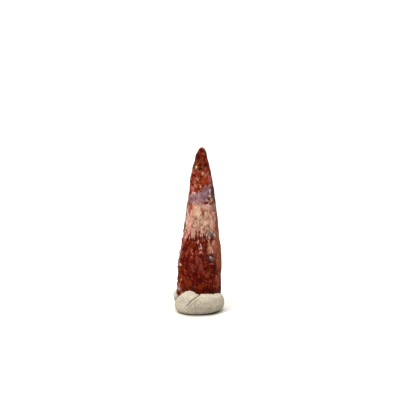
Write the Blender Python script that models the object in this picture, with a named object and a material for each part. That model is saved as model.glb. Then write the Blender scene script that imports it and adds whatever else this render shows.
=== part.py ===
# A fossil pterosaur tooth standing in a hand-pressed lump of grey mounting putty. Metres, +Z up.
# The origin is the middle of the putty's flat underside. The tooth's broad front face looks along -Y.
import math

import bmesh
import bpy
from mathutils import Vector, noise
from mathutils.bvhtree import BVHTree

MM = 0.001
GAP = 0.3 * MM                  # clear space kept between the tooth and the socket pressed round it


def in_mm(*stations):
    # stations are (position, value) pairs written in millimetres
    return [(position * MM, value * MM) for position, value in stations]


def by_degrees(*stations):
    # stations are (azimuth in degrees, value) pairs, repeated so that they close
    turns = [(azimuth + turn, value) for turn in (-360, 0, 360) for azimuth, value in stations]
    return [(math.radians(azimuth), value) for azimuth, value in turns]


# Tooth: an oval cone, broken off at the root, with a blunt worn tip
TOOTH_FOOT = 0.9 * MM           # the broken root ends here, inside the putty
TIP_START = 21.5 * MM           # the rounded tip begins here
TIP_RISE = 1.02 * MM            # height of the rounded tip
TIP_TAPER = 0.3                 # the half width goes on shrinking by this share of the way up the tip
TIP_ROUNDING = 0.6              # below 1 the rounding is fuller than an ellipse's
HALF_WIDTHS = in_mm((0.9, 2.2), (1.3, 2.6), (2.0, 2.9), (2.8, 3.01), (4.8, 2.94), (6.4, 2.95),
                    (8.9, 2.68), (12.2, 2.3), (15.6, 1.85), (18.8, 1.36), (20.4, 1.02), (21.5, 0.7))
CENTRES_X = in_mm((0.9, -0.03), (2.7, -0.21), (4.7, -0.15), (8.5, 0.05), (13.0, 0.15), (20.0, 0.17),
                  (22.0, 0.27))
DEPTH_SHARE_FOOT = 0.64         # depth of the oval as a share of its width, at the root and at the tip
DEPTH_SHARE_TIP = 0.84
RECURVE = 0.8 * MM              # how far the tip leans back from the root's middle
KEEL_PINCH = 0.16               # how much the oval narrows towards its two side edges
PULP_DEPTH = 0.45 * MM          # hollow of the pulp in the broken root
PULP_SHARE = 0.6                # its width as a share of the root
TOOTH_SEGMENTS = 36
TOOTH_RINGS = 90
FOOT_RINGS = 4
TIP_RINGS = 8

# Relief of the tooth: lumps and grain drawn out lengthwise, low ridges, beads on the left edge
STREAK = 0.4                    # share of their height that counts, so that lumps run lengthwise
LUMP_SIZE = 1.1 * MM
LUMP_HEIGHT = 0.08 * MM
GRAIN_SIZE = 0.5 * MM
GRAIN_HEIGHT = 0.05 * MM
RIDGE_COUNT = 9
RIDGE_HEIGHT = 0.04 * MM
RIDGE_WANDER = 4.0 * MM         # length over which a ridge strays to the side
RIDGE_STRAYING = 2.0
RIDGE_FADE = ((1.0 * MM, 0.2), (4.0 * MM, 1.0), (11.0 * MM, 0.8), (17.0 * MM, 0.3), (22.0 * MM, 0.0))
EDGE_BEADS = ((2.6, 0.10), (3.2, -0.04), (3.7, 0.06), (4.7, 0.08), (5.2, -0.05), (6.1, 0.08), (7.0, 0.05),
              (7.5, -0.05), (8.05, 0.06), (9.0, -0.03), (9.8, 0.09), (10.45, -0.10), (11.3, 0.07),
              (12.1, 0.05), (12.7, -0.07), (14.7, 0.06), (15.4, -0.04), (16.6, -0.06), (18.2, 0.05),
              (21.4, 0.05))     # z and rise in mm: beads stand out, the rest are nicks between them
BEAD_LENGTH = 0.27 * MM         # half length along the edge
BEAD_SPREAD = math.radians(24)  # half width round the edge

# Flake scars and pits: side (-1 front, 1 back), x, z, half width, half height and depth in millimetres
SCAR_SOFTNESS = 0.8             # share of a scar's half size at which its depth has fallen to a third
SCARS = (
    (-1, 0.27, 21.95, 0.24, 0.30, 0.13),
    (-1, 0.15, 19.65, 0.30, 0.32, 0.14),
    (-1, 1.25, 15.20, 0.65, 0.22, 0.07),
    (-1, 1.62, 10.15, 0.48, 0.85, 0.13),
    (-1, 1.66, 7.35, 0.50, 0.42, 0.12),
    (-1, 0.12, 8.90, 0.30, 0.75, 0.07),
    (-1, -2.20, 11.60, 0.50, 0.60, 0.08),
    (-1, -2.75, 2.95, 0.55, 0.50, 0.12),
    (-1, 2.55, 2.95, 0.45, 0.50, 0.10),
    (1, -0.70, 13.60, 0.60, 0.95, 0.12),
    (1, 0.95, 8.20, 0.75, 0.55, 0.12),
    (1, -1.20, 5.10, 0.50, 0.80, 0.10),
    (1, 0.20, 18.30, 0.35, 0.50, 0.10),
)

# Putty: a pillow pressed flat below, with a rim that rises and dips round the tooth. Reach and rim
# height are in millimetres by azimuth; the undercut is a share of the plain section's.
REACH = by_degrees((0, 3.36), (40, 3.2), (90, 2.9), (130, 3.25), (156, 3.65), (178, 3.36),
                   (205, 3.5), (235, 3.22), (270, 2.95), (315, 3.05), (340, 3.25))
RIM_HEIGHT = by_degrees((0, 2.5), (40, 2.6), (90, 2.75), (130, 2.6), (156, 2.4), (178, 1.9), (206, 2.8),
                        (219, 3.1), (236, 3.34), (250, 3.14), (264, 2.84), (284, 2.88), (316, 2.8),
                        (330, 2.96), (343, 3.08))
# Section from the middle of the underside over the edge to the middle of the top:
# share of the way, share of the reach, share of the rim height
SECTION = ((0.0, 0.0, 0.0), (0.2, 0.8, 0.0), (0.28, 0.91, 0.06), (0.42, 1.0, 0.4), (0.54, 0.97, 0.7),
           (0.64, 0.88, 0.91), (0.74, 0.74, 1.0), (1.0, 0.0, 0.9))
PUTTY_SEGMENTS = 56
PUTTY_RINGS = 30
CROWDING = 0.4                  # how much closer the segments stand at the fold than on average
CROWDED_AT = math.radians(250)
UNDERCUT = by_degrees((0, 1.5), (60, 1.0), (140, 1.2), (180, 0.9), (225, 0.4), (270, 0.9), (325, 1.7))
FLAT_WAY = 0.2                  # the undercut lies between the flat underside's edge
BULGE_WAY = 0.42                # and the place where the section stands out furthest
FLAT_EDGE = 0.25 * MM           # the relief fades out below this height, so that the underside stays flat
SQUEEZE_SIZE = 1.6 * MM
SQUEEZE_HEIGHT = 0.09 * MM
SWELLINGS = (                   # x, y, z, radius and rise in mm: the lobe at the rear left, then dents
    (-3.3, 1.5, 1.9, 0.75, 0.40),
    (1.45, -2.75, 0.7, 0.4, -0.09),
    (2.1, -2.3, 1.6, 0.45, -0.07),
    (-2.3, -2.3, 1.7, 0.5, -0.05),
    (0.9, 2.8, 1.5, 0.8, -0.12),
)

# Fold on the front, where the two ends of the rolled putty were pinched over each other
FOLD_X = ((0.0, 0.02 * MM), (0.2, -0.3 * MM), (0.55, -1.09 * MM), (1.0, -1.85 * MM))
FOLD_Z = ((0.0, 2.74 * MM), (0.2, 2.6 * MM), (0.55, 2.1 * MM), (1.0, 1.15 * MM))
FOLD_POINTS = 9
FOLD_RADIUS = 0.17 * MM         # of the groove at the rim; it narrows to a third at its lower end
FOLD_NARROWING = 0.67
FAR_FRONT = 10.0 * MM           # a point this far in front of the axis is clear of the putty

TOOTH_COLOUR = (0.19, 0.034, 0.015, 1.0)
TOOTH_ROUGHNESS = 0.38
PUTTY_COLOUR = (0.50, 0.44, 0.34, 1.0)
PUTTY_ROUGHNESS = 0.9
SHARP_FROM = math.radians(50)   # edges that bend more than this stay sharp in the smooth shading


def clear_scene():
    for item in list(bpy.data.objects):
        bpy.data.objects.remove(item, do_unlink=True)


def new_collection(name):
    group = bpy.data.collections.new(name)
    bpy.context.scene.collection.children.link(group)
    return group


def new_material(name, colour, roughness):
    material = bpy.data.materials.new(name)
    material.use_nodes = True
    shader = material.node_tree.nodes["Principled BSDF"]
    shader.inputs["Base Color"].default_value = colour
    shader.inputs["Roughness"].default_value = roughness
    shader.inputs["Metallic"].default_value = 0.0
    return material


def slope_between(start, end):
    return (end[1] - start[1]) / (end[0] - start[0])


def station_slope(stations, index):
    # level at every turn, so that the curve never overshoots its stations
    if index == 0:
        return slope_between(*stations[:2])
    if index == len(stations) - 1:
        return slope_between(*stations[-2:])
    before, here, after = stations[index - 1:index + 2]
    slope_in = slope_between(before, here)
    slope_out = slope_between(here, after)
    if slope_in * slope_out <= 0:
        return 0.0
    return 2 * slope_in * slope_out / (slope_in + slope_out)


def follow(stations, at):
    # smooth curve through (position, value) stations, level beyond both ends
    if at <= stations[0][0]:
        return stations[0][1]
    if at >= stations[-1][0]:
        return stations[-1][1]
    index = next(i for i in range(len(stations) - 1) if at <= stations[i + 1][0])
    start, end = stations[index], stations[index + 1]
    span = end[0] - start[0]
    t = (at - start[0]) / span
    lead = station_slope(stations, index) * span
    trail = station_slope(stations, index + 1) * span
    rise = end[1] - start[1]
    return start[1] + t * lead + t * t * (3 * rise - 2 * lead - trail) + t ** 3 * (lead + trail - 2 * rise)


def bump(distance, width):
    return math.exp(-(distance / width) ** 2)


def lumps(point, size, height, offset):
    return height * noise.noise(point / size + Vector((offset, 0, 0)))


def angle_between(first, second):
    return abs((first - second + math.pi) % math.tau - math.pi)


def sphere_object(name, segments, rings, place, group):
    # a UV sphere whose vertices are carried to a new form by place(azimuth, ring)
    mesh = bpy.data.meshes.new(name)
    shape = bmesh.new()
    bmesh.ops.create_uvsphere(shape, u_segments=segments, v_segments=rings, radius=1.0)
    for vert in shape.verts:
        azimuth = math.atan2(vert.co.y, vert.co.x)
        ring = math.acos(max(-1.0, min(1.0, -vert.co.z))) / math.pi * rings
        vert.co = place(azimuth, ring)
    bmesh.ops.recalc_face_normals(shape, faces=shape.faces[:])
    shape.to_mesh(mesh)
    shape.free()
    item = bpy.data.objects.new(name, mesh)
    group.objects.link(item)
    return item


def raise_relief(item, relief):
    # moves each vertex along its normal by relief(position)
    shape = bmesh.new()
    shape.from_mesh(item.data)
    shape.normal_update()
    moves = [(vert, vert.normal * relief(vert.co)) for vert in shape.verts]
    for vert, move in moves:
        vert.co += move
    shape.to_mesh(item.data)
    shape.free()


def up_the_tooth(height):
    return max(0.0, height - TOOTH_FOOT) / (TIP_START - TOOTH_FOOT)


def tooth_centre(height):
    return Vector((follow(CENTRES_X, height), RECURVE * up_the_tooth(height) ** 2, height))


def tooth_place(azimuth, ring, grow):
    # grow enlarges the form evenly, for the socket
    side_rings = TOOTH_RINGS - FOOT_RINGS - TIP_RINGS
    height = TOOTH_FOOT + (TIP_START - TOOTH_FOOT) * (ring - FOOT_RINGS) / side_rings
    share = 1.0
    lift = 0.0
    if ring <= FOOT_RINGS:
        height = TOOTH_FOOT
        share = ring / FOOT_RINGS
        lift = -grow
        if not grow:
            lift = PULP_DEPTH * max(0.0, 1 - (share / PULP_SHARE) ** 2)
    elif ring > TOOTH_RINGS - TIP_RINGS:
        height = TIP_START
        turn = math.pi / 2 * (ring - TOOTH_RINGS + TIP_RINGS) / TIP_RINGS
        lift = (TIP_RISE + grow) * math.sin(turn)
        share = max(0.0, math.cos(turn)) ** TIP_ROUNDING
        share *= 1 - TIP_TAPER * lift / follow(HALF_WIDTHS, height)
    half_width = follow(HALF_WIDTHS, height)
    half_depth = half_width * (DEPTH_SHARE_FOOT + (DEPTH_SHARE_TIP - DEPTH_SHARE_FOOT) * up_the_tooth(height))
    pinch = 1 - KEEL_PINCH * math.cos(azimuth) ** 4
    across = (half_width + grow) * share * math.cos(azimuth)
    along = (half_depth + grow) * share * math.sin(azimuth) * pinch
    return tooth_centre(height + lift) + Vector((across, along, 0))


def tooth_scars(point):
    depth = 0.0
    facing = -1 if point.y < tooth_centre(point.z).y else 1
    for side, x, z, half_width, half_height, deep in SCARS:
        if side == facing:
            away = math.hypot((point.x / MM - x) / half_width, (point.z / MM - z) / half_height)
            depth += deep * MM * bump(away, SCAR_SOFTNESS)
    return depth


def tooth_relief(point):
    centre = tooth_centre(point.z)
    azimuth = math.atan2(point.y - centre.y, point.x - centre.x)
    drawn = Vector((point.x, point.y, point.z * STREAK))
    height = lumps(drawn, LUMP_SIZE, LUMP_HEIGHT, 3.0) + lumps(drawn, GRAIN_SIZE, GRAIN_HEIGHT, 11.0)
    ridges = math.cos(RIDGE_COUNT * azimuth + RIDGE_STRAYING * noise.noise(point / RIDGE_WANDER))
    height += RIDGE_HEIGHT * ridges * follow(RIDGE_FADE, point.z)
    edge = bump(angle_between(azimuth, math.pi), BEAD_SPREAD)
    height += edge * sum(rise * MM * bump(point.z - z * MM, BEAD_LENGTH) for z, rise in EDGE_BEADS)
    return height - tooth_scars(point)


def putty_place(azimuth, ring):
    turned = azimuth - CROWDING * math.sin(azimuth - CROWDED_AT)
    undercut = follow(UNDERCUT, turned)
    reaches = [(way, 1 - (1 - out) * undercut if FLAT_WAY <= way < BULGE_WAY else out)
               for way, out, up in SECTION]
    rises = [(way, up) for way, out, up in SECTION]
    radius = follow(reaches, ring / PUTTY_RINGS) * follow(REACH, turned) * MM
    height = follow(rises, ring / PUTTY_RINGS) * follow(RIM_HEIGHT, turned) * MM
    return Vector((radius * math.cos(turned), radius * math.sin(turned), height))


def putty_relief(point):
    height = lumps(point, SQUEEZE_SIZE, SQUEEZE_HEIGHT, 7.0)
    for x, y, z, radius, rise in SWELLINGS:
        away = point - Vector((x, y, z)) * MM
        height += rise * MM * bump(away.length, radius * MM)
    return height * max(0.0, min(1.0, point.z / FLAT_EDGE))


def fold_line():
    # the fold in the front view, from the rim down to its lower left end
    ways = [index / (FOLD_POINTS - 1) for index in range(FOLD_POINTS)]
    return [Vector((follow(FOLD_X, way), follow(FOLD_Z, way))) for way in ways]


def make_cutter(item):
    item.hide_render = True
    item.display_type = "WIRE"


def cut(item, cutter, name):
    make_cutter(cutter)
    modifier = item.modifiers.new(name, "BOOLEAN")
    modifier.operation = "DIFFERENCE"
    modifier.solver = "EXACT"
    modifier.object = cutter


def socket_cutter(group):
    return sphere_object("socket_cutter", TOOTH_SEGMENTS, TOOTH_RINGS,
                         lambda azimuth, ring: tooth_place(azimuth, ring, GAP), group)


def fold_cutter(putty, group):
    # a tapering tube laid along the fold on the front of the putty
    surface = BVHTree.FromPolygons([vert.co for vert in putty.data.vertices],
                                   [face.vertices for face in putty.data.polygons])
    curve = bpy.data.curves.new("fold_path", "CURVE")
    curve.dimensions = "3D"
    curve.bevel_depth = FOLD_RADIUS
    curve.bevel_resolution = 2
    curve.use_fill_caps = True
    spline = curve.splines.new("POLY")
    spline.points.add(FOLD_POINTS - 1)
    for index, place in enumerate(fold_line()):
        hit = surface.ray_cast(Vector((place.x, -FAR_FRONT, place.y)), Vector((0, 1, 0)))[0]
        spline.points[index].co = (hit.x, hit.y, hit.z, 1.0)
        spline.points[index].radius = 1 - FOLD_NARROWING * index / (FOLD_POINTS - 1)
    path = bpy.data.objects.new("fold_path", curve)
    group.objects.link(path)
    evaluated = path.evaluated_get(bpy.context.evaluated_depsgraph_get())
    mesh = bpy.data.meshes.new_from_object(evaluated)
    shape = bmesh.new()
    shape.from_mesh(mesh)
    bmesh.ops.remove_doubles(shape, verts=shape.verts[:], dist=0.001 * MM)
    bmesh.ops.recalc_face_normals(shape, faces=shape.faces[:])
    shape.to_mesh(mesh)
    shape.free()
    bpy.data.objects.remove(path, do_unlink=True)
    cutter = bpy.data.objects.new("fold_cutter", mesh)
    group.objects.link(cutter)
    return cutter


def finish(item, material):
    item.data.materials.append(material)
    item.data.shade_smooth()
    item.data.set_sharp_from_angle(angle=SHARP_FROM)


def main():
    clear_scene()
    parts = new_collection("fossil_pterosaur_tooth")
    cutters = new_collection("cutters")
    root = bpy.data.objects.new("fossil_pterosaur_tooth", None)
    parts.objects.link(root)

    tooth = sphere_object("tooth", TOOTH_SEGMENTS, TOOTH_RINGS,
                          lambda azimuth, ring: tooth_place(azimuth, ring, 0.0), parts)
    raise_relief(tooth, tooth_relief)
    finish(tooth, new_material("fossil enamel", TOOTH_COLOUR, TOOTH_ROUGHNESS))

    putty = sphere_object("putty_base", PUTTY_SEGMENTS, PUTTY_RINGS, putty_place, parts)
    raise_relief(putty, putty_relief)
    cut(putty, fold_cutter(putty, cutters), "Fold")
    cut(putty, socket_cutter(cutters), "Socket")
    finish(putty, new_material("grey mounting putty", PUTTY_COLOUR, PUTTY_ROUGHNESS))

    for item in (tooth, putty):
        item.parent = root


main()
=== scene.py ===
# A fossil pterosaur tooth standing in a pressed lump of grey mounting putty.
# The fine skins are grown on copies of the frame's nodes, in millimetres, and brought to metres at the end.
import math

import bpy
import numpy as np
from mathutils import Matrix, Vector, noise
from mathutils.bvhtree import BVHTree


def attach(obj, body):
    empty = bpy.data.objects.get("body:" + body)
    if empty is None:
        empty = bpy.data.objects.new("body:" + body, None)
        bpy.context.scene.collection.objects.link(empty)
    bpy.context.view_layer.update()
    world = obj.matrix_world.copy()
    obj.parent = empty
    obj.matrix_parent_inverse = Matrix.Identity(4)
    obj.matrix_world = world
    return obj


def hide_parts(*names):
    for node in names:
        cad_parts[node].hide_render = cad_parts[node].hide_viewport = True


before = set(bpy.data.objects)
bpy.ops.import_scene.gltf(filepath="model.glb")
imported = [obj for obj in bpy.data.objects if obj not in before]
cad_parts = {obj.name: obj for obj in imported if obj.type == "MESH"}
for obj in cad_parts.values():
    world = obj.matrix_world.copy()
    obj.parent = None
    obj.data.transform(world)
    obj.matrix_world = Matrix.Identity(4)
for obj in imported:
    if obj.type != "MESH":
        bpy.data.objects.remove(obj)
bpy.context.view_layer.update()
mmPerMetre = 1000.0
print("frame loaded:", sorted(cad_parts))


def screenColour(red, green, blue):
    # a colour as a screen shows it, 0 to 255, as the linear colour that a shader takes
    shares = [channel / 255 for channel in (red, green, blue)]
    return tuple(s / 12.92 if s <= 0.04045 else ((s + 0.055) / 1.055) ** 2.4 for s in shares) + (1.0,)


def addItem(name, data):
    item = bpy.data.objects.new(name, data)
    bpy.context.scene.collection.objects.link(item)
    return item


# Small helpers that put nodes in a tree

def feed(tree, node, **sockets):
    # gives sockets a value or a link; they are named by their title, or by i and their number
    for key, value in sockets.items():
        numbered = key[0] == "i" and key[1:].isdigit()
        socket = node.inputs[int(key[1:]) if numbered else key.replace("_", " ")]
        if isinstance(value, bpy.types.NodeSocket):
            tree.links.new(value, socket)
        else:
            socket.default_value = value


def place(tree, kind, settings=None, **sockets):
    node = tree.nodes.new("ShaderNode" + kind)
    for key, value in (settings or {}).items():
        setattr(node, key, value)
    feed(tree, node, **sockets)
    return node


def sums(tree, operation, first, second=0.0, third=0.0, clamp=False):
    settings = {"operation": operation, "use_clamp": clamp}
    return place(tree, "Math", settings, i0=first, i1=second, i2=third).outputs[0]


def times(tree, first, second):
    return sums(tree, "MULTIPLY", first, second)


def swung(tree, base, value, amount, clamp=False):
    # base, moved up and down by a noise that lies about a half
    return sums(tree, "ADD", base, times(tree, sums(tree, "SUBTRACT", value, 0.5), amount), clamp=clamp)


def weighed(tree, weights, **values):
    # the sum of the values, each times its own weight
    total = 0.0
    for name, value in values.items():
        total = sums(tree, "MULTIPLY_ADD", value, weights[name], total)
    return total


def vectors(tree, operation, first, second):
    return place(tree, "VectorMath", {"operation": operation}, i0=first, i1=second).outputs["Vector"]


def mixed(tree, share, first, second, blend="MIX"):
    settings = {"data_type": "RGBA", "blend_type": blend}
    return place(tree, "Mix", settings, i0=share, i6=first, i7=second).outputs[2]


def laid(tree, under, mask, strength, over, blend="MIX"):
    # a colour over another where the mask is
    return mixed(tree, times(tree, mask, strength), under, over, blend)


def stepped(tree, value, low, high):
    # smooth step from 0 at low to 1 at high
    settings = {"interpolation_type": "SMOOTHSTEP"}
    node = place(tree, "MapRange", settings, Value=value, From_Min=low, From_Max=high)
    return node.outputs["Result"]


def colourRamp(tree, value, stops):
    node = place(tree, "ValToRGB", Fac=value)
    elements = node.color_ramp.elements
    while len(elements) < len(stops):
        elements.new(0.5)
    for element, (position, colour) in zip(elements, stops):
        element.position = position
        element.color = colour
    return node.outputs["Color"]


def newMaterial(name):
    material = bpy.data.materials.new(name)
    material.use_nodes = True
    return material, material.node_tree, material.node_tree.nodes["Principled BSDF"]


# Camera and studio

cameraSet = {
    "lookAt": (1.07, 0.0, 14.27),       # mm
    "distance": 570.0,                  # mm
    "elevation": 14.5,                  # degrees above level, straight in front
    "lens": 367.0,
    "sensor": 36.0,
    "clip": (0.02, 20.0),               # metres
}

studio = {
    "floorSize": 6.0,                   # metres
    # paper as the camera sees it, from fully enclosed to fully open: share open, colour
    "paperTones": ((0.0, (0.05, 0.05, 0.05, 1.0)), (0.35, (0.20, 0.20, 0.19, 1.0)),
                   (0.6, (0.50, 0.49, 0.45, 1.0)), (0.8, (0.74, 0.725, 0.64, 1.0)),
                   (1.0, (0.90, 0.89, 0.83, 1.0))),
    "contactReach": 1.6,                # mm over which the piece shades the paper
    # metres to the side between which the shade fades, and by what share
    "contactEnds": {"From_Min": 0.0018, "From_Max": 0.0034, "To_Max": 0.7},
    "bounceColour": (0.36, 0.35, 0.33, 1.0),  # what the floor gives back to the piece, darker than it is seen
    "skyLow": (0.12, 0.12, 0.12, 1.0),
    "skyHigh": (1.0, 1.0, 1.0, 1.0),
    "skyTop": 0.8,                      # how far up the sky is at its brightest
    "skyStrength": 1.62,
    "keyStrength": 1.75,
    "keyAngle": 9.0,                    # degrees across; the smaller, the crisper the glints
    "keyFrom": (-0.75, -0.6, 1.25),
}


def addCamera():
    lens = bpy.data.cameras.new("camera")
    lens.lens = cameraSet["lens"]
    lens.sensor_width = cameraSet["sensor"]
    lens.clip_start, lens.clip_end = cameraSet["clip"]
    item = addItem("camera", lens)
    rise = math.radians(cameraSet["elevation"])
    away = Vector((0, -math.cos(rise), math.sin(rise))) * cameraSet["distance"]
    item.location = (Vector(cameraSet["lookAt"]) + away) / mmPerMetre
    item.rotation_euler = (math.pi / 2 - rise, 0, 0)
    bpy.context.scene.camera = item


def addFloor():
    half = studio["floorSize"] / 2
    mesh = bpy.data.meshes.new("floor")
    corners = [(-half, -half, 0), (half, -half, 0), (half, half, 0), (-half, half, 0)]
    mesh.from_pydata(corners, [], [(0, 1, 2, 3)])
    floor = addItem("floor", mesh)
    material, tree, shader = newMaterial("white paper floor")
    # shade where the piece stands close, weaker towards both of its ends
    reach = studio["contactReach"] / mmPerMetre
    openness = place(tree, "AmbientOcclusion", Distance=reach).outputs["AO"]
    here = place(tree, "TexCoord").outputs["Object"]
    aside = sums(tree, "ABSOLUTE", place(tree, "SeparateXYZ", Vector=here).outputs["X"])
    fade = place(tree, "MapRange", Value=aside, **studio["contactEnds"]).outputs["Result"]
    lit = place(tree, "Mix", i0=fade, i2=openness, i3=1.0).outputs[0]
    seen = place(tree, "LightPath").outputs["Is Camera Ray"]
    paper = mixed(tree, seen, studio["bounceColour"], colourRamp(tree, lit, studio["paperTones"]))
    feed(tree, shader, Base_Color=paper, Roughness=1.0, Specular_IOR_Level=0.0)
    mesh.materials.append(material)


def addSky():
    world = bpy.data.worlds.new("soft studio dome")
    world.use_nodes = True
    bpy.context.scene.world = world
    tree = world.node_tree
    way = place(tree, "TexCoord").outputs["Generated"]
    up = place(tree, "SeparateXYZ", Vector=way).outputs["Z"]
    colour = colourRamp(tree, up, ((0.0, studio["skyLow"]), (studio["skyTop"], studio["skyHigh"])))
    feed(tree, tree.nodes["Background"], Color=colour, Strength=studio["skyStrength"])


def addKey():
    lamp = bpy.data.lights.new("key", "SUN")
    lamp.energy = studio["keyStrength"]
    lamp.angle = math.radians(studio["keyAngle"])
    addItem("key", lamp).rotation_euler = Vector(studio["keyFrom"]).to_track_quat("Z", "Y").to_euler()


addCamera()
addFloor()
addSky()
addKey()
bpy.context.scene.view_settings.view_transform = "Standard"
print("camera and studio ready")


# Fine skins

def voxelSkin(node, voxel):
    # a closed skin of small even faces over a copy of the node, in millimetres
    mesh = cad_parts[node].data.copy()
    mesh.transform(Matrix.Scale(mmPerMetre, 4))
    rough = addItem("rough", mesh)
    remesh = rough.modifiers.new("skin", "REMESH")
    remesh.mode = "VOXEL"
    remesh.voxel_size = voxel
    evaluated = rough.evaluated_get(bpy.context.evaluated_depsgraph_get())
    skin = bpy.data.meshes.new_from_object(evaluated)
    bpy.data.objects.remove(rough, do_unlink=True)
    skin.materials.clear()
    return skin


def rowsOf(items, name):
    flat = np.zeros(len(items) * 3, np.float32)
    items.foreach_get(name, flat)
    return flat.reshape(-1, 3).astype(float)


def pointsOf(mesh):
    return rowsOf(mesh.vertices, "co")


def setPoints(mesh, points):
    mesh.vertices.foreach_set("co", points.astype(np.float32).ravel())
    mesh.update()


def normalsOf(mesh):
    return rowsOf(mesh.vertex_normals, "vector")


def shellOf(mesh):
    # finds the nearest place on a mesh, in millimetres; the mesh itself is in metres
    points = [Vector(point) for point in (pointsOf(mesh) * mmPerMetre).tolist()]
    return BVHTree.FromPolygons(points, [tuple(face.vertices) for face in mesh.polygons])


def smoothed(mesh, values, rounds, shrink, swell):
    # evens values over neighbouring points; swell undoes the shrinking of larger forms
    pairs = np.zeros(len(mesh.edges) * 2, np.int32)
    mesh.edges.foreach_get("vertices", pairs)
    first, second = pairs.reshape(-1, 2).T
    count = len(mesh.vertices)
    degree = np.maximum(np.bincount(first, minlength=count) + np.bincount(second, minlength=count), 1)
    columns = values.copy()
    for step in range(rounds):
        for share in (shrink, -swell):
            for k in range(columns.shape[1]):
                column = columns[:, k]
                around = np.bincount(first, column[second], count) + np.bincount(second, column[first], count)
                columns[:, k] = column + share * (around / degree - column)
    return columns


def noiseAt(points, size, stretch, shift):
    # soft noise from about -1 to 1, with lumps of that size, stretch times as tall; shift picks other lumps
    scaled = points / (size, size, size * stretch) + shift
    return np.array([noise.noise(row) for row in scaled.tolist()])


def keepOnPoints(mesh, name, values):
    # values for the material to read
    layer = mesh.attributes.new(name, "FLOAT", "POINT")
    layer.data.foreach_set("value", values.astype(np.float32))


def hump(away, width):
    return np.exp(-(away / width) ** 2)


def ease(low, high, values):
    t = np.clip((values - low) / (high - low), 0, 1)
    return t * t * (3 - 2 * t)


def between(low, high, blur, values):
    return ease(low - blur, low + blur, values) * ease(high + blur, high - blur, values)


def markStrength(points, face, x, z, halfWidth, halfHeight, lean):
    # 1 at the middle of a mark, a half on its outline; face is 1 on the side that carries it
    turn = math.radians(lean)
    across = points[:, 0] - x
    up = points[:, 2] - z
    sideways = (across * math.cos(turn) - up * math.sin(turn)) / halfWidth
    along = (across * math.sin(turn) + up * math.cos(turn)) / halfHeight
    return face * np.exp2(-(sideways ** 2 + along ** 2))


def addPiece(name, mesh):
    mesh.transform(Matrix.Scale(1 / mmPerMetre, 4))
    mesh.shade_smooth()
    return addItem(name, mesh)


# The tooth. Sizes are in millimetres. Its share across is -1 at the left edge and 1 at the right,
# and its share in depth is -1 on the front and 1 on the back.

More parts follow.
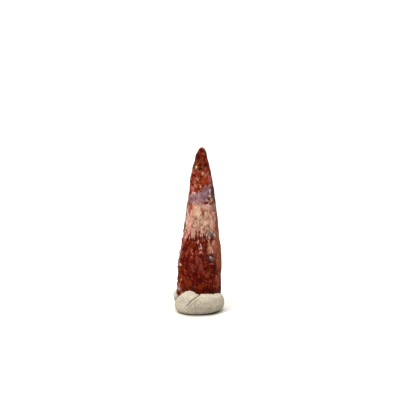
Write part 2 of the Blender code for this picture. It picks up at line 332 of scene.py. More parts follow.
toothLook = {
    "voxel": 0.062,
    "smoothing": (14, 0.5, 0.45),       # rounds, shrink and swell
    # noises: size, stretch in height, shift
    "knobs": (0.36, 1.7, 5.0), "knobHeight": 0.045,
    "striae": (0.2, 6.0, 9.0), "striaHeight": 0.014,
    # the knobs are lower in the mauve and cream parts, which begin and end between these heights
    "calmFrom": (9.0, 12.0), "calmTo": (16.4, 17.6), "calmness": 0.6,
    "pits": 260, "pitSize": (0.05, 0.12), "pitStretch": 1.6, "pitDepth": 0.045, "pitSeed": 7,
    # beads up the left edge: spacing, height, share across that they take up, and where they fade out
    "beadEvery": 0.62, "beadHeight": 0.03, "beadShare": 0.14, "beadFade": (13.5, 10.5),
    "beadDrift": (2.5, 1.0, 2.0), "beadStray": 0.6,
    # a groove beside the right edge: share across, half width as a share, depth, and where it fades out
    "grooveShare": 0.925, "grooveWidth": 0.018, "grooveDepth": 0.05, "grooveFade": (9.6, 8.6),
    "grooveBack": 0.1,                  # it is cut only before this share in depth
    "hollowGroove": 0.8, "hollowKnobs": 0.6,  # their part in the hollows that the material reads
    "rootFade": (0.9, 3.2), "rootRelief": 0.2,  # the relief sinks to this share in the putty
    # shade of the putty on the enamel: its reach, the gap it starts from, the height it never passes
    "rimShade": 0.3, "rimGap": 0.3, "rimTop": 5.5,
    "markRim": (0.3, 0.8),              # a mark's dip begins and is full at these strengths
    "frontFade": (0.4, 0.05),           # shares in depth where the front's marks end and are full
    # noise and amount by which outlines wander: ends and sides of the strips, and their reach round the edges
    "endNoise": (0.6, 1.2, 17.0), "endStray": 1.1, "endBlur": 0.45,
    "sideNoise": (0.5, 2.5, 19.0), "sideStray": 0.05, "sideBlur": 0.05,
    "reachNoise": (0.7, 2.0, 21.0), "reachStray": 0.35, "reachFade": (0.42, 0.05),
    # marks on the front and on the back: size and stretch of the noise, its shifts across and up, amount
    "frontStray": (0.3, 1.3, (23.0, 27.0), 0.11), "backStray": (0.8, 1.3, (31.0, 37.0), 0.55),
    # strips along the two side edges: kind, from z to z, from share to share across, strength
    "strips": (
        ("olive", 21.5, 22.3, 0.78, 1.3, 0.9), ("olive", 19.3, 21.9, -1.3, -0.8, 1.0),
        ("tan", 18.7, 21.3, 0.86, 1.3, 0.55), ("crimson", 17.4, 18.8, 0.9, 1.3, 0.7),
        ("maroon", 14.6, 17.6, 0.93, 1.3, 0.6), ("olive", 14.8, 17.6, 0.82, 0.96, 0.7),
        ("slate", 13.4, 14.6, 0.76, 1.3, 0.65), ("redBrown", 11.0, 13.8, 0.79, 1.3, 0.85),
        ("slate", 10.5, 11.6, 0.62, 0.9, 0.7), ("tan", 6.4, 11.0, 0.74, 1.3, 0.78),
        ("tan", 3.2, 6.4, 0.84, 1.3, 0.64), ("slate", 13.7, 16.0, -1.3, -0.86, 0.8),
        ("redBrown", 13.6, 14.9, -0.88, -0.66, 0.65), ("olive", 11.3, 12.9, -1.3, -0.9, 1.0),
        ("rose", 9.2, 11.4, -1.0, -0.84, 0.6), ("tan", 7.2, 9.6, -1.0, -0.9, 0.6),
        ("tan", 2.4, 3.9, -1.3, -0.72, 0.65),
    ),
    # marks by kind: x and z of the middle, half width, half height and, where they aren't 0, the depth
    # of the dip in them and their lean to the right in degrees
    "frontMarks": {
        "umber": [
            (-1.1, 9.55, 0.42, 0.44, 0, 20), (-1.6, 4.2, 0.44, 0.5, 0, -25), (1.3, 5.9, 0.5, 0.46, 0, 20),
            (0.3, 3.9, 0.56, 0.36, 0, -10), (2.3, 5.3, 0.14, 0.9),
        ],
        "plum": [
            (-0.42, 7.7, 0.2, 0.9), (-0.95, 6.4, 0.22, 0.5, 0, -10), (0.1, 6.6, 0.34, 0.36, 0, 30),
            (0.62, 7.6, 0.14, 0.6), (0.95, 5.4, 0.3, 0.3, 0, -30),
        ],
        "fawn": [
            (0.22, 12.3, 0.17, 0.24, 0.01), (0.98, 12.15, 0.12, 0.2, 0.01), (-0.5, 13.32, 0.1, 0.14, 0.01),
            (1.24, 13.15, 0.1, 0.3, 0.01), (0.42, 13.2, 0.09, 0.22, 0.01, 10),
        ],
        "tan": [
            (1.45, 13.9, 0.1, 0.28, 0.02), (1.52, 9.3, 0.46, 0.62), (2.0, 9.2, 0.34, 1.3),
            (2.62, 2.95, 0.12, 0.18, 0.03),
        ],
        "ochre": [(-0.47, 20.4, 0.2, 0.3), (-0.34, 19.78, 0.34, 0.34), (1.58, 17.14, 0.15, 0.15)],
        "rust": [(0.6, 18.15, 0.36, 0.46), (-2.36, 5.6, 0.09, 0.55)],
        "redBrown": [
            (0.22, 22.36, 0.36, 0.17), (0.88, 20.7, 0.16, 0.5, 0, -14), (-1.33, 14.92, 0.26, 0.34, 0.02, -25),
            (-1.26, 14.45, 0.28, 0.2, 0.02), (-1.42, 14.0, 0.18, 0.28, 0.02, 15), (0.75, 15.23, 0.48, 0.18),
            (0.22, 14.36, 0.13, 0.24, 0.02, -8), (0.37, 13.98, 0.14, 0.42, 0.02, -6),
            (0.84, 14.2, 0.26, 0.11, 0.01), (2.24, 12.45, 0.16, 0.85, 0.03, -4),
            (2.1, 11.45, 0.12, 0.42, 0.03, -18), (0.48, 11.72, 0.15, 0.19, 0.02),
            (1.22, 12.0, 0.07, 0.24, 0.02, -12), (-1.76, 11.3, 0.09, 0.36, 0.02, 5),
        ],
        "crimson": [
            (-0.27, 18.95, 0.19, 0.22), (1.0, 17.51, 0.14, 0.22, 0.02), (-0.46, 16.88, 0.2, 0.24, 0, 20),
            (-1.32, 11.0, 0.11, 0.5, 0.03, 5), (0.02, 5.9, 0.4, 0.22),
        ],
        "maroon": [
            (-0.36, 21.3, 0.14, 0.62, 0.02, 28), (0.02, 19.92, 0.15, 0.17), (-0.67, 18.75, 0.18, 0.16, 0.03),
            (-0.98, 17.62, 0.13, 0.24, 0.02), (0.87, 15.17, 0.38, 0.14, 0.05),
            (1.45, 15.03, 0.27, 0.16, 0.04, 20), (-0.5, 10.95, 0.12, 0.52, 0.03), (0.46, 10.7, 0.13, 0.5, 0.02),
            (-2.0, 8.8, 0.3, 0.34, 0.02, 20), (-1.75, 6.9, 0.26, 0.55, 0.02), (-2.3, 5.6, 0.24, 0.4, 0.02),
            (-0.72, 5.4, 0.26, 0.46, 0.02, 15), (0.8, 8.9, 0.2, 0.5, 0.02), (1.9, 6.1, 0.2, 0.5, 0.02),
            (0.3, 4.9, 0.34, 0.24, 0.02, -20), (1.4, 3.3, 0.8, 0.22),
        ],
        "olive": [
            (-0.78, 20.45, 0.13, 0.62, 0, 14), (0.8, 21.75, 0.12, 0.4, 0, -14), (1.27, 15.71, 0.15, 0.2),
            (1.68, 16.2, 0.16, 0.9, 0, -12), (-1.42, 13.58, 0.08, 0.16, 0.02), (1.75, 15.15, 0.18, 0.32, 0.02),
            (-2.07, 12.1, 0.14, 0.5, 0.03, -6), (-2.18, 11.45, 0.14, 0.3, 0.03, -6),
            (1.7, 10.72, 0.1, 0.34, 0.05, -22), (-0.04, 9.8, 0.17, 0.11, 0.02), (1.56, 7.6, 0.52, 0.42, 0.02),
            (1.62, 7.18, 0.38, 0.18, 0.04), (-1.08, 3.72, 0.4, 0.2),
        ],
        "slate": [
            (1.98, 13.99, 0.17, 0.42, 0.04, -42), (1.78, 13.05, 0.13, 0.32, 0.02),
            (0.96, 11.45, 0.16, 0.26, 0.01), (1.3, 11.0, 0.26, 0.46, 0.03), (1.52, 7.68, 0.42, 0.28, 0.04, 15),
        ],
        "rose": [
            (-0.72, 19.15, 0.1, 0.24), (1.28, 18.35, 0.16, 0.42, 0, -8), (0.92, 19.0, 0.1, 0.34, 0, -6),
            (-0.87, 17.96, 0.12, 0.2, -0.02), (-1.12, 17.1, 0.14, 0.36, -0.02, -8), (1.92, 8.75, 0.16, 0.46),
            (-0.06, 8.46, 0.16, 0.1, -0.02), (-1.17, 8.84, 0.1, 0.2, -0.02, 15),
            (-1.0, 8.4, 0.17, 0.22, -0.02, -20), (-1.15, 7.84, 0.1, 0.24, -0.02, 10),
            (1.62, 6.86, 0.34, 0.07, -0.02),
        ],
        "peach": [
            (0.4, 19.08, 0.17, 0.18, -0.02), (0.02, 17.37, 0.12, 0.16, -0.02), (-1.21, 13.26, 0.2, 0.28),
            (1.22, 10.08, 0.24, 0.08, -0.02, 35), (1.84, 9.96, 0.3, 0.08, -0.02, -12),
            (1.24, 9.62, 0.11, 0.26, -0.02), (1.78, 9.7, 0.2, 0.34, -0.02, -10),
            (1.34, 8.92, 0.36, 0.56, -0.02), (-0.19, 10.05, 0.13, 0.26, -0.02, 10),
            (-2.44, 2.72, 0.16, 0.28, 0, 25),
        ],
        "bright": [
            (-0.47, 19.91, 0.12, 0.12, -0.03), (-0.42, 14.15, 0.32, 0.66), (0.86, 13.75, 0.17, 0.42),
            (0.72, 12.55, 0.22, 0.3),
        ],
        "salmon": [
            (-1.31, 12.38, 0.09, 0.58, -0.02), (-1.5, 11.85, 0.14, 0.48, -0.02, 8),
            (-1.57, 11.08, 0.12, 0.42, -0.02, 8), (-1.8, 10.48, 0.14, 0.34, -0.02, 14),
        ],
        "pink": [
            (-0.31, 18.38, 0.11, 0.13, -0.03), (-0.64, 17.53, 0.13, 0.12, -0.02),
            (1.14, 14.44, 0.22, 0.1, -0.01), (0.07, 10.92, 0.09, 0.3, -0.02),
            (-0.1, 9.12, 0.09, 0.3, -0.02, -15), (0.12, 8.6, 0.22, 0.1, -0.02, 15),
        ],
        "orange": [
            (-0.84, 12.61, 0.14, 0.18, 0.02), (-0.25, 11.3, 0.11, 0.17), (-2.56, 4.54, 0.12, 0.16, -0.04),
            (2.22, 4.95, 0.11, 0.36),
        ],
        "lilac": [
            (1.3, 16.8, 0.14, 0.34), (0.92, 15.62, 0.16, 0.18), (1.07, 14.76, 0.36, 0.13),
            (0.1, 9.52, 0.12, 0.22, 0, -30), (-2.6, 8.45, 0.07, 0.55, 0, -4), (1.46, 7.8, 0.27, 0.17, 0, 25),
            (-2.84, 3.2, 0.12, 0.2, 0.02),
        ],
        "pale": [
            (-0.8, 16.5, 0.26, 0.11, -0.02), (-1.68, 13.78, 0.08, 0.3, -0.02),
            (1.76, 13.8, 0.08, 0.3, -0.02, -42), (1.96, 12.9, 0.08, 0.34, -0.02),
            (1.58, 12.5, 0.12, 0.34, -0.01), (-0.22, 11.85, 0.16, 0.22, -0.01),
            (0.88, 10.8, 0.09, 0.46, -0.02, 4), (1.66, 8.62, 0.11, 0.28, -0.02),
            (0.16, 9.22, 0.11, 0.24, -0.02, 20),
        ],
        # cream marks: painted highlights, small glints on the enamel
        "cream": [
            (1.27, 16.1, 0.14, 0.15, -0.03), (1.94, 10.75, 0.07, 0.32, -0.03, -22),
            (-2.62, 6.62, 0.13, 0.14, -0.04),
        ],
        "cavity": [
            (0.2, 22.0, 0.2, 0.19, 0.07), (0.06, 19.64, 0.24, 0.2, 0.08), (0.92, 19.62, 0.08, 0.12, 0.04),
            (-0.07, 18.29, 0.09, 0.11, 0.05), (0.17, 16.8, 0.1, 0.1, 0.04), (0.02, 8.92, 0.08, 0.13, 0.03),
        ],
    },
    "backMarks": {
        "tan": [(1.3, 9.4, 0.36, 0.7)],
        "ochre": [(-0.35, 19.6, 0.3, 0.45, 0, 8)],
        "rust": [(0.25, 18.9, 0.34, 0.55, 0, 10), (1.6, 5.4, 0.24, 0.6, 0, -8)],
        "redBrown": [(0.75, 15.2, 0.26, 0.35, 0.03, -20), (1.7, 11.3, 0.22, 0.8, 0.02)],
        "crimson": [(0.3, 6.0, 0.6, 0.4)],
        "maroon": [(-1.15, 15.6, 0.24, 0.2, 0.03), (0.75, 11.6, 0.16, 0.7, 0.03)],
        "olive": [(0.35, 21.2, 0.22, 0.5, 0, -10), (-1.2, 5.2, 0.36, 0.5, 0.05), (0.2, 3.6, 0.6, 0.28)],
        "slate": [(-1.0, 13.2, 0.28, 0.6, 0.05, 8), (0.95, 8.0, 0.4, 0.34, 0.05)],
        "rose": [
            (-0.75, 18.1, 0.16, 0.5), (0.95, 17.7, 0.14, 0.35), (-1.85, 10.5, 0.18, 0.6, 0, -8),
            (0.8, 7.5, 0.36, 0.08, -0.02, 10), (-1.6, 7.4, 0.16, 0.36),
        ],
        "peach": [(-0.6, 14.6, 0.3, 0.5), (-0.6, 9.8, 0.14, 0.45, -0.02)],
        "bright": [(0.3, 13.7, 0.34, 0.7)],
        "salmon": [(1.4, 12.6, 0.14, 0.6), (-1.45, 11.6, 0.14, 0.6, 0, -12)],
        "pink": [(-0.35, 17.3, 0.14, 0.2)],
        "orange": [(0.9, 13.6, 0.18, 0.45), (-0.2, 12.3, 0.14, 0.45, 0.02, 8), (-2.1, 4.2, 0.14, 0.3)],
        "pale": [(0.35, 10.3, 0.14, 0.5, -0.02, 6)],
        "cavity": [(-0.2, 20.6, 0.12, 0.16, 0.07), (0.45, 17.6, 0.12, 0.12, 0.06)],
    },
}


def sectionsByHeight(points):
    # middle and half size, across and front to back, at any height
    every, reach, least = 0.33, 0.25, 0.3
    levels = np.arange(points[:, 2].min(), points[:, 2].max(), every)
    rows = []
    for level in levels:
        near = points[np.abs(points[:, 2] - level) < reach][:, :2]
        low, high = near.min(0), near.max(0)
        rows.append(np.concatenate(((low + high) / 2, np.maximum((high - low) / 2, least))))
    rows = np.array(rows)
    blur = np.array((0.25, 0.5, 0.25))
    for column in rows.T:
        column[1:-1] = np.convolve(column, blur, "valid")
    return lambda heights: np.stack([np.interp(heights, levels, column) for column in rows.T], 1)


def strayed(points, size, stretch, shifts, amount):
    # points moved about across and up, so that what is drawn on them gets an uneven outline
    across, up = [noiseAt(points, size, stretch, shift) * amount for shift in shifts]
    return points + np.stack((across, np.zeros(len(points)), up), 1)


def toothMarks(points, share):
    strengths = {}
    depth = np.zeros(len(points))
    front = ease(*toothLook["frontFade"], share[:, 1])
    reach = share[:, 1] + toothLook["reachStray"] * noiseAt(points, *toothLook["reachNoise"])
    facing = ease(*toothLook["reachFade"], reach)
    ends = points[:, 2] + toothLook["endStray"] * noiseAt(points, *toothLook["endNoise"])
    sides = share[:, 0] + toothLook["sideStray"] * noiseAt(points, *toothLook["sideNoise"])
    for kind, low, high, inner, outer, strength in toothLook["strips"]:
        strip = strength * between(low, high, toothLook["endBlur"], ends)
        strip = strip * between(inner, outer, toothLook["sideBlur"], sides) * facing
        strengths[kind] = np.maximum(strengths.get(kind, 0), strip)
    for side, face in (("front", front), ("back", 1 - front)):
        moved = strayed(points, *toothLook[side + "Stray"])
        for kind, marks in toothLook[side + "Marks"].items():
            for x, z, halfWidth, halfHeight, *more in marks:
                dip, lean = (*more, 0, 0)[:2]
                strength = markStrength(moved, face, x, z, halfWidth, halfHeight, lean)
                strengths[kind] = np.maximum(strengths.get(kind, 0), strength)
                depth += dip * ease(*toothLook["markRim"], strength)
    return strengths, depth


def pitsIn(points):
    # small round pits at random places, 1 at their middle
    rng = np.random.default_rng(toothLook["pitSeed"])
    pits = np.zeros(len(points))
    stretch = toothLook["pitStretch"]
    spots = points[rng.choice(len(points), toothLook["pits"], replace=False)]
    sizes = rng.uniform(*toothLook["pitSize"], len(spots))
    for spot, size in zip(spots, sizes):
        near = np.where(np.abs(points - spot).max(1) < 3 * size * stretch)[0]
        away = (points[near] - spot) / (size, size, size * stretch)
        pits[near] = np.maximum(pits[near], np.exp(-(away ** 2).sum(1)))
    return pits


def makeTooth():
    mesh = voxelSkin("tooth", toothLook["voxel"])
    points = smoothed(mesh, pointsOf(mesh), *toothLook["smoothing"])
    setPoints(mesh, points)
    normals = normalsOf(mesh)
    section = sectionsByHeight(points)(points[:, 2])
    share = (points[:, :2] - section[:, :2]) / section[:, 2:]
    strengths, depth = toothMarks(points, share)
    height = points[:, 2]
    # knobbly where the enamel is dark, calmer in the mauve and cream parts
    calm = ease(*toothLook["calmFrom"], height) * (1 - ease(*toothLook["calmTo"], height))
    knobs = noiseAt(points, *toothLook["knobs"])
    relief = knobs * toothLook["knobHeight"] * (1 - toothLook["calmness"] * calm)
    relief = relief + noiseAt(points, *toothLook["striae"]) * toothLook["striaHeight"]
    pits = pitsIn(points)
    drift = toothLook["beadStray"] * noiseAt(points, *toothLook["beadDrift"])
    beads = hump(share[:, 0] + 1, toothLook["beadShare"])
    beads = beads * np.cos(2 * math.pi * (height / toothLook["beadEvery"] + drift)) * toothLook["beadHeight"]
    relief += beads * ease(*toothLook["beadFade"], height)
    onFront = share[:, 1] < toothLook["grooveBack"]
    groove = hump(share[:, 0] - toothLook["grooveShare"], toothLook["grooveWidth"]) * onFront
    groove *= ease(*toothLook["grooveFade"], height)
    move = relief - pits * toothLook["pitDepth"] - depth - groove * toothLook["grooveDepth"]
    least = toothLook["rootRelief"]
    move *= ease(*toothLook["rootFade"], height) * (1 - least) + least
    setPoints(mesh, points + normals * move[:, None])
    # shade close above the putty's rim
    puttyShell = shellOf(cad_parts["putty_base"].data)
    low = height < toothLook["rimTop"]
    rim = np.zeros(len(points))
    for index in np.where(low)[0]:
        rim[index] = max(0.0, puttyShell.find_nearest(Vector(points[index]))[3] - toothLook["rimGap"])
    keepOnPoints(mesh, "rimShade", hump(rim, toothLook["rimShade"]) * low)
    for kind, strength in strengths.items():
        keepOnPoints(mesh, kind + "Mark", strength)
    hollow = pits + groove * toothLook["hollowGroove"] - knobs * toothLook["hollowKnobs"]
    keepOnPoints(mesh, "hollow", np.clip(hollow, -1, 1))
    print("tooth skin:", len(mesh.vertices), "points")
    return addPiece("fossil_tooth", mesh)


tooth = makeTooth()


# The putty, in millimetres too

puttyLook = {
    "voxel": 0.055,
    "smoothing": (12, 0.5, 0.42),
    "snugTo": 0.03,                     # left between the rim and the tooth
    "snugGap": 0.31,                    # what is closer to the tooth than this is the socket's wall
    "snugReach": 0.13, "snugSearch": 1.4,
    "snugFrom": 0.6, "snugFade": 0.5,   # height from which the rim closes in, and over which it starts to
    "frontFrom": -0.9, "frontTurn": 0.5,  # the front is before this y, and turned no further back
    "foldX": (0.02, -0.3, -1.09, -1.85),  # the fold on the front, from the rim down to its lower left end
    "foldZ": (2.74, 2.6, 2.1, 1.15),
    "foldWays": (0, 0.2, 0.55, 1),      # how far down the fold each of those places is
    "foldFade": (1.06, 0.9),            # it fades out between these
    # across the fold: place, half width and rise of the groove, of its raised lip and of its far side
    "foldSection": ((0.0, 0.05, -0.07), (0.19, 0.1, 0.07), (-0.28, 0.16, 0.02)),
    "creaseWidth": 0.09,
    "printEvery": 0.3,                  # between the fine lines left by a finger
    # height of the finger lines, strength of the painted shade in their valleys, and the noise and amount by
    # which they wander
    "printHeight": 0.024, "printShade": 0.8, "printNoise": (1.2, 1.0, 4.0), "printStray": 0.25,
    "printPatch": (-0.2, 1.3, 1.3, 0.9),  # x and z of their middle, half width and half height
    "printRun": (0.8, 0.45),            # their run, across and up
    "printGap": 0.1,                    # they begin that far from the fold
    "squash": (0.55, 1.0, 1.0), "squashHeight": 0.022,
    "pebbles": (0.2, 1.0, 6.0), "pebbleHeight": 0.007,
    # the lower edge curls in under the bulge, up to this height, outside these radii
    "undercut": 0.22, "undercutTop": 0.5, "undercutFrom": (1.3, 2.2),
    "flatEdge": 0.3,                    # the relief fades out below this height
    # x, y, z, radius and rise: the rear left lobe, the left lobe, the right flank
    "swellings": (
        (-3.35, 1.35, 2.10, 0.60, 0.16), (-3.50, 0.00, 0.60, 0.50, 0.10), (3.40, -0.40, 1.00, 0.85, -0.12),
    ),
    # the furrow between the two lobes at the left, x, y and z
    "furrow": ((-2.90, 0.90, 1.72), (-3.06, 0.62, 1.70), (-3.24, 0.42, 1.60), (-3.41, 0.65, 1.24),
               (-3.42, 0.95, 0.85)),
    # the furrow's depth, its width and the strength of its painted shade
    "furrowDepth": 0.3, "furrowWidth": 0.15, "furrowShade": 0.6,
    # small dents: x, z, half width, half height, lean to the right in degrees
    "dentDepth": 0.04,
    "dents": (
        (1.4, 1.38, 0.06, 0.3, -42), (1.62, 1.16, 0.05, 0.2, -42), (1.2, 0.92, 0.05, 0.24, -38),
        (1.42, 0.68, 0.05, 0.2, -38), (0.67, 1.73, 0.1, 0.1, 0), (-0.02, 1.94, 0.04, 0.26, -30),
        (-0.26, 2.18, 0.04, 0.22, -35), (0.42, 0.85, 0.05, 0.32, -8), (-1.9, 0.8, 0.05, 0.22, -30),
        (-0.6, 1.0, 0.05, 0.28, 12), (2.3, 0.95, 0.06, 0.24, 25), (-2.6, 1.7, 0.05, 0.2, 20),
    ),
}


def alongFold(points):
    # distance to the fold in the front view, positive on its lower right, and the way down it from 0 to 1
    ways = np.linspace(0, 1, 60)
    line = np.stack([np.interp(ways, puttyLook["foldWays"], puttyLook[key]) for key in ("foldX", "foldZ")], 1)
    flat = points[:, [0, 2]]
    away = np.linalg.norm(flat[:, None] - line[None], axis=2)
    nearest = away.argmin(1)
    step = np.gradient(line, axis=0)[nearest]
    gap = flat - line[nearest]
    side = np.sign(step[:, 1] * gap[:, 0] - step[:, 0] * gap[:, 1])
    return away.min(1) * -side, ways[nearest]


def furrowStrength(points):
    # 1 along the furrow between the two left lobes
    best = np.full(len(points), np.inf)
    path = [np.array(stop) for stop in puttyLook["furrow"]]
    for start, end in zip(path, path[1:]):
        run = end - start
        way = np.clip((points - start) @ run / (run @ run), 0, 1)
        best = np.minimum(best, np.linalg.norm(points - start - way[:, None] * run, axis=1))
    return hump(best, puttyLook["furrowWidth"])


def pressOn(points):
    # the rim is pressed on to the tooth
    toothShell = shellOf(tooth.data)
    start, gap = puttyLook["snugFrom"], puttyLook["snugGap"]
    for index, point in enumerate(points.tolist()):
        hit, normal, face, away = toothShell.find_nearest(Vector(point), puttyLook["snugSearch"])
        if hit is not None and point[2] > start:
            outward = (Vector(point) - hit).normalized()
            pull = math.exp(-((max(away, gap) - gap) / puttyLook["snugReach"]) ** 2)
            inward = outward * ((away - puttyLook["snugTo"]) * pull)
            points[index] = Vector(point) - inward * min(1, (point[2] - start) / puttyLook["snugFade"])


def curlIn(points):
    # the lower edge curls in, so that the lump stands in its own shade
    radius = np.linalg.norm(points[:, :2], axis=1)
    curl = puttyLook["undercut"] * np.clip(1 - points[:, 2] / puttyLook["undercutTop"], 0, 1) ** 1.5
    points[:, :2] *= (1 - curl * ease(*puttyLook["undercutFrom"], radius) / np.maximum(radius, 0.1))[:, None]


def makePutty():
    mesh = voxelSkin("putty_base", puttyLook["voxel"])
    points = smoothed(mesh, pointsOf(mesh), *puttyLook["smoothing"])
    points[:, 2] = np.maximum(points[:, 2], 0)
    pressOn(points)
    curlIn(points)
    setPoints(mesh, points)
    normals = normalsOf(mesh)
    gap, way = alongFold(points)
    front = (points[:, 1] < puttyLook["frontFrom"]) & (normals[:, 1] < puttyLook["frontTurn"])
    along = ease(*puttyLook["foldFade"], way) * (way > 0.0)
    across = sum(rise * hump(gap - middle, width) for middle, width, rise in puttyLook["foldSection"])
    fold = front * along * across
    # finger lines run square to the fold over the right lobe
    x, z, halfWidth, halfHeight = puttyLook["printPatch"]
    patch = front * hump(points[:, 0] - x, halfWidth) * hump(points[:, 2] - z, halfHeight)
    patch = patch * (gap > puttyLook["printGap"])
    stray = puttyLook["printStray"] * noiseAt(points, *puttyLook["printNoise"])
    run = points[:, 0] * puttyLook["printRun"][0] + points[:, 2] * puttyLook["printRun"][1] + stray
    wave = np.cos(2 * math.pi * run / puttyLook["printEvery"])
    prints = patch * wave * puttyLook["printHeight"]
    squash = noiseAt(points, *puttyLook["squash"]) * puttyLook["squashHeight"]
    squash = squash + noiseAt(points, *puttyLook["pebbles"]) * puttyLook["pebbleHeight"]
    dents = np.zeros(len(points))
    for dent in puttyLook["dents"]:
        dents = np.maximum(dents, markStrength(points, front, *dent))
    furrow = furrowStrength(points)
    swelling = sum(rise * hump(np.linalg.norm(points - (x, y, z), axis=1), size)
                   for x, y, z, size, rise in puttyLook["swellings"])
    move = fold + prints + squash + swelling
    move = move - puttyLook["dentDepth"] * dents - puttyLook["furrowDepth"] * furrow
    points = points + normals * (move * ease(0.0, puttyLook["flatEdge"], points[:, 2]))[:, None]
    points[:, 2] = np.maximum(points[:, 2], 0)
    setPoints(mesh, points)
    # darker in the dents, and painted shade in the valleys of the finger lines, along the furrow and in the
    # fold's crease
    lines = patch * np.clip(-wave, 0, 1) * puttyLook["printShade"]
    keepOnPoints(mesh, "dent", np.maximum(np.maximum(dents, lines), puttyLook["furrowShade"] * furrow))
    keepOnPoints(mesh, "crease", hump(gap, puttyLook["creaseWidth"]) * along * front)
    print("putty skin:", len(mesh.vertices), "points")
    return addPiece("mounting_putty", mesh)


putty = makePutty()


# Node groups, shared by the materials

def newGroup(name, inputs, outputs):
    # a group with its named sockets; a number gives a float input its value, None is a vector
    group = bpy.data.node_groups.new(name, "ShaderNodeTree")
    for direction, sockets in (("INPUT", inputs), ("OUTPUT", outputs)):
        for title, value in sockets:
            kind = "NodeSocketVector" if value is None else "NodeSocketFloat"
            socket = group.interface.new_socket(name=title, in_out=direction, socket_type=kind)
            if value is not None:
                socket.default_value = value
    return group, group.nodes.new("NodeGroupInput").outputs, group.nodes.new("NodeGroupOutput").inputs


def drawnOut(group, position, stretch):
    # the position squeezed in height, so that what is laid on it is stretch times as tall
    squeeze = sums(group, "DIVIDE", 1.0, stretch)
    shrink = place(group, "CombineXYZ", X=1.0, Y=1.0, Z=squeeze).outputs[0]
    return vectors(group, "MULTIPLY", position, shrink)


def makeGrain():
    # soft noise about 0.5 at a real size
    group, given, result = newGroup(
        "grain",
        (("Position", None), ("Size", 0.3), ("Stretch", 1.0), ("Detail", 3.0), ("Contrast", 1.0)),
        (("Value", 0.0), ("Drift", None)))
    spot = drawnOut(group, given["Position"], given["Stretch"])
    scale = sums(group, "DIVIDE", 1.0, given["Size"])
    cells = place(group, "TexNoise", Vector=spot, Detail=given["Detail"], Scale=scale, Roughness=0.6)
    group.links.new(swung(group, 0.5, cells.outputs[0], given["Contrast"], True), result["Value"])
    group.links.new(vectors(group, "SUBTRACT", cells.outputs[1], (0.5, 0.5, 0.5)), result["Drift"])
    return group


def makeSpecks():
    # scattered small spots: Share of the cells carry one
    group, given, result = newGroup(
        "specks", (("Position", None), ("Size", 0.3), ("Stretch", 1.0), ("Share", 0.3)), (("Mask", 0.0),))
    least, spread, blur = 0.18, 0.25, 0.12
    spot = drawnOut(group, given["Position"], given["Stretch"])
    scale = sums(group, "DIVIDE", 1.0, given["Size"])
    cells = place(group, "TexVoronoi", Vector=spot, Scale=scale)
    pick = place(group, "SeparateColor", Color=cells.outputs["Color"])
    chosen = sums(group, "LESS_THAN", pick.outputs[0], given["Share"])
    radius = sums(group, "MULTIPLY_ADD", pick.outputs[1], spread, least)
    outer, inner = sums(group, "ADD", radius, blur), sums(group, "SUBTRACT", radius, blur)
    dot = stepped(group, cells.outputs["Distance"], outer, inner)
    group.links.new(times(group, dot, chosen), result["Mask"])
    return group


def makeFacets():
    # small crisp cells, each of one tone, domed between the lines that part them
    group, given, result = newGroup(
        "facets", (("Position", None), ("Drift", None), ("Size", 0.25), ("Stretch", 1.3)),
        (("Tone", 0.0), ("Dome", 0.0)))
    moved = vectors(group, "ADD", given["Position"], given["Drift"])
    spot = drawnOut(group, moved, given["Stretch"])
    scale = sums(group, "DIVIDE", 1.0, given["Size"])
    cells = place(group, "TexVoronoi", Vector=spot, Scale=scale)
    pick = place(group, "SeparateColor", Color=cells.outputs["Color"])
    group.links.new(pick.outputs[0], result["Tone"])
    group.links.new(sums(group, "SUBTRACT", 1.0, cells.outputs["Distance"], clamp=True), result["Dome"])
    return group


def makeFray():
    # a soft mark kept on the points gets a crisp ragged outline
    group, given, result = newGroup(
        "frayed mark", (("Amount", 0.0), ("Fray", 0.5), ("Ragged", 0.5), ("Softness", 0.12)), (("Mask", 0.0),))
    level = swung(group, given["Amount"], given["Fray"], given["Ragged"])
    low = sums(group, "SUBTRACT", 0.5, given["Softness"])
    high = sums(group, "ADD", 0.5, given["Softness"])
    none, some = 0.02, 0.3              # amounts below which there is nothing and above which it may show
    near = stepped(group, given["Amount"], none, some)
    group.links.new(times(group, stepped(group, level, low, high), near), result["Mask"])
    return group


grain = makeGrain()
specks = makeSpecks()
facets = makeFacets()
fray = makeFray()


def use(tree, group, **sockets):
    return place(tree, "Group", {"node_tree": group}, **sockets).outputs


def grainOf(tree, here, size, stretch, detail, contrast):
    return use(tree, grain, Position=here, Size=size, Stretch=stretch, Detail=detail, Contrast=contrast)


def pointValue(tree, name):
    return place(tree, "Attribute", {"attribute_name": name}).outputs["Fac"]


def positionInMm(tree):
    here = place(tree, "TexCoord").outputs["Object"]
    return vectors(tree, "MULTIPLY", here, (mmPerMetre,) * 3)


def underGloss(red, green, blue):
    # deeper than it is seen, because the gloss lays a thin pale veil over it
    through, veil, least = 0.95, 0.009, 0.0006
    *colour, alpha = screenColour(red, green, blue)
    return tuple(max(least, through * channel - veil) for channel in colour) + (alpha,)


# Materials

